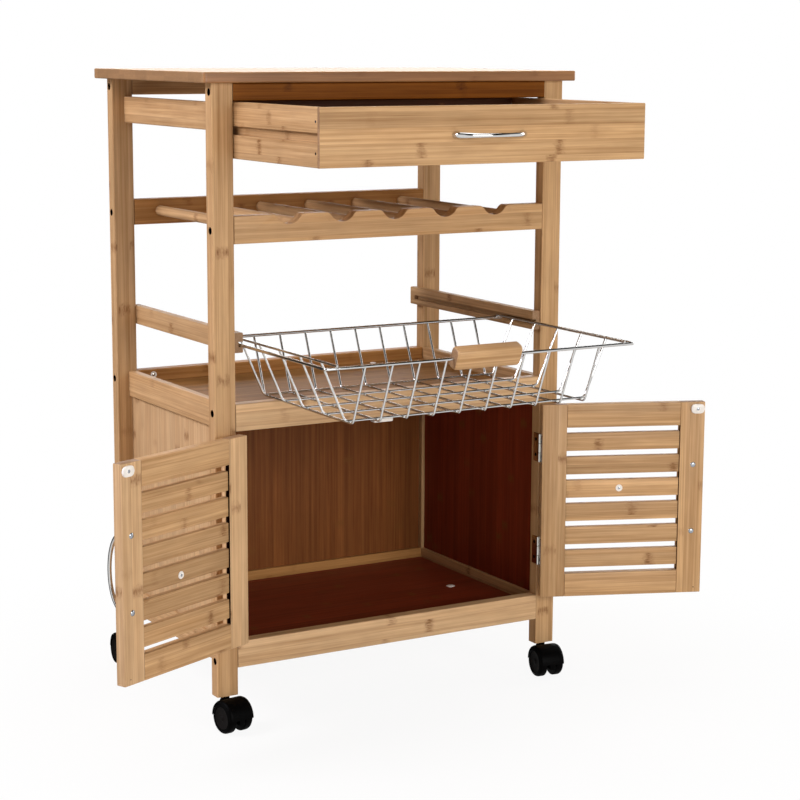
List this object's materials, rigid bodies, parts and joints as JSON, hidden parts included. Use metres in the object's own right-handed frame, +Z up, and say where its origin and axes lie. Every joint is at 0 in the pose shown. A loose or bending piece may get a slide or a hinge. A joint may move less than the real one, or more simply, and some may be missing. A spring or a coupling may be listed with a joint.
{
  "type": "rolling utility cart",
  "caption": "Bamboo kitchen trolley on swivel casters with a drawer, a wine rack, a sliding wire basket, a shelf and a cabinet with two slatted doors.",
  "frame": {"origin": "middle of the base of the whole cart as posed, on the floor", "axes": "+Z up; +X to the cart's right as seen from in front; the front, with the drawer and the doors, faces -Y"},
  "size_m": [0.8966, 0.6244, 0.8533],
  "materials": {
    "bamboo": "satin lacquer over laminated bamboo strips",
    "bamboo_panel": "satin lacquer over thin bamboo board",
    "chrome": "polished plating",
    "hinge_steel": "nickel plated sheet",
    "black_plastic": "moulded nylon"
  },
  "bodies": {
    "frame": {"top_board": "bamboo", "post_front_left": "bamboo", "post_front_right": "bamboo", "post_back_left": "bamboo", "post_back_right": "bamboo", "top_rail_front": "bamboo", "top_rail_back": "bamboo", "wine_rail_front": "bamboo", "wine_rail_back": "bamboo", "wine_dowel_1": "bamboo", "wine_dowel_2": "bamboo", "wine_dowel_3": "bamboo", "wine_dowel_4": "bamboo", "wine_dowel_5": "bamboo", "wine_dowel_6": "bamboo", "shelf_rail_front": "bamboo", "shelf_rail_back": "bamboo", "shelf_rail_left": "bamboo", "shelf_rail_right": "bamboo", "base_rail_front": "bamboo", "base_rail_back": "bamboo", "base_rail_left": "bamboo", "base_rail_right": "bamboo", "drawer_rail_left": "bamboo", "drawer_rail_right": "bamboo", "basket_runner_left": "bamboo", "basket_runner_right": "bamboo", "shelf_panel": "bamboo_panel", "base_panel": "bamboo_panel", "back_panel": "bamboo_panel", "side_panel_left": "bamboo_panel", "side_panel_right": "bamboo_panel", "hinge_left_lower_post_leaf": "hinge_steel", "hinge_left_upper_post_leaf": "hinge_steel", "hinge_right_lower_post_leaf": "hinge_steel", "hinge_right_upper_post_leaf": "hinge_steel"},
    "drawer": {"drawer_front": "bamboo", "drawer_side_left": "bamboo", "drawer_side_right": "bamboo", "drawer_back": "bamboo", "drawer_bottom": "bamboo_panel", "drawer_handle": "chrome"},
    "basket": {"wire_basket": "chrome", "basket_grip": "bamboo"},
    "door_left": {"door_left": "bamboo", "door_left_handle": "chrome", "hinge_left_lower_door_leaf": "hinge_steel", "hinge_left_upper_door_leaf": "hinge_steel"},
    "door_right": {"door_right": "bamboo", "door_right_handle": "chrome", "hinge_right_lower_door_leaf": "hinge_steel", "hinge_right_upper_door_leaf": "hinge_steel"},
    "caster_front_left": {"caster_hood_front_left": "black_plastic"},
    "wheels_front_left": {"caster_wheels_front_left": "black_plastic"},
    "caster_front_right": {"caster_hood_front_right": "black_plastic"},
    "wheels_front_right": {"caster_wheels_front_right": "black_plastic"},
    "caster_back_left": {"caster_hood_back_left": "black_plastic"},
    "wheels_back_left": {"caster_wheels_back_left": "black_plastic"},
    "caster_back_right": {"caster_hood_back_right": "black_plastic"},
    "wheels_back_right": {"caster_wheels_back_right": "black_plastic"}
  },
  "joints": [
    {"name": "drawer_slide", "type": "slide", "parent": "frame", "child": "drawer", "axis": [0, -1, 0], "range_m": [-0.228, 0.02]},
    {"name": "basket_slide", "type": "slide", "parent": "frame", "child": "basket", "axis": [0, -1, 0], "range_m": [-0.2445, 0.02]},
    {"name": "door_left_hinge", "type": "hinge", "parent": "frame", "child": "door_left", "pos_m": [-0.23614, -0.06079, 0.2569], "axis": [0, 0, -1], "range_deg": [-156, 24]},
    {"name": "door_right_hinge", "type": "hinge", "parent": "frame", "child": "door_right", "pos_m": [0.23286, -0.06079, 0.2569], "axis": [0, 0, 1], "range_deg": [-158, 22]},
    {"name": "caster_front_left_swivel", "type": "hinge", "parent": "frame", "child": "caster_front_left", "pos_m": [-0.25164, -0.04889, 0.021], "axis": [0, 0, 1], "continuous": true},
    {"name": "wheels_front_left_spin", "type": "hinge", "parent": "caster_front_left", "child": "wheels_front_left", "pos_m": [-0.24913, -0.06672, 0.021], "axis": [0.9903, 0.1392, 0], "continuous": true},
    {"name": "caster_front_right_swivel", "type": "hinge", "parent": "frame", "child": "caster_front_right", "pos_m": [0.24836, -0.04889, 0.021], "axis": [0, 0, 1], "continuous": true},
    {"name": "wheels_front_right_spin", "type": "hinge", "parent": "caster_front_right", "child": "wheels_front_right", "pos_m": [0.24586, -0.06672, 0.021], "axis": [0.9903, -0.1392, 0], "continuous": true},
    {"name": "caster_back_left_swivel", "type": "hinge", "parent": "frame", "child": "caster_back_left", "pos_m": [-0.25164, 0.26931, 0.021], "axis": [0, 0, 1], "continuous": true},
    {"name": "wheels_back_left_spin", "type": "hinge", "parent": "caster_back_left", "child": "wheels_back_left", "pos_m": [-0.24976, 0.28721, 0.021], "axis": [-0.9945, 0.1045, 0], "continuous": true},
    {"name": "caster_back_right_swivel", "type": "hinge", "parent": "frame", "child": "caster_back_right", "pos_m": [0.24836, 0.26931, 0.021], "axis": [0, 0, 1], "continuous": true},
    {"name": "wheels_back_right_spin", "type": "hinge", "parent": "caster_back_right", "child": "wheels_back_right", "pos_m": [0.24993, 0.25138, 0.021], "axis": [0.9962, 0.0872, 0], "continuous": true}
  ]
}
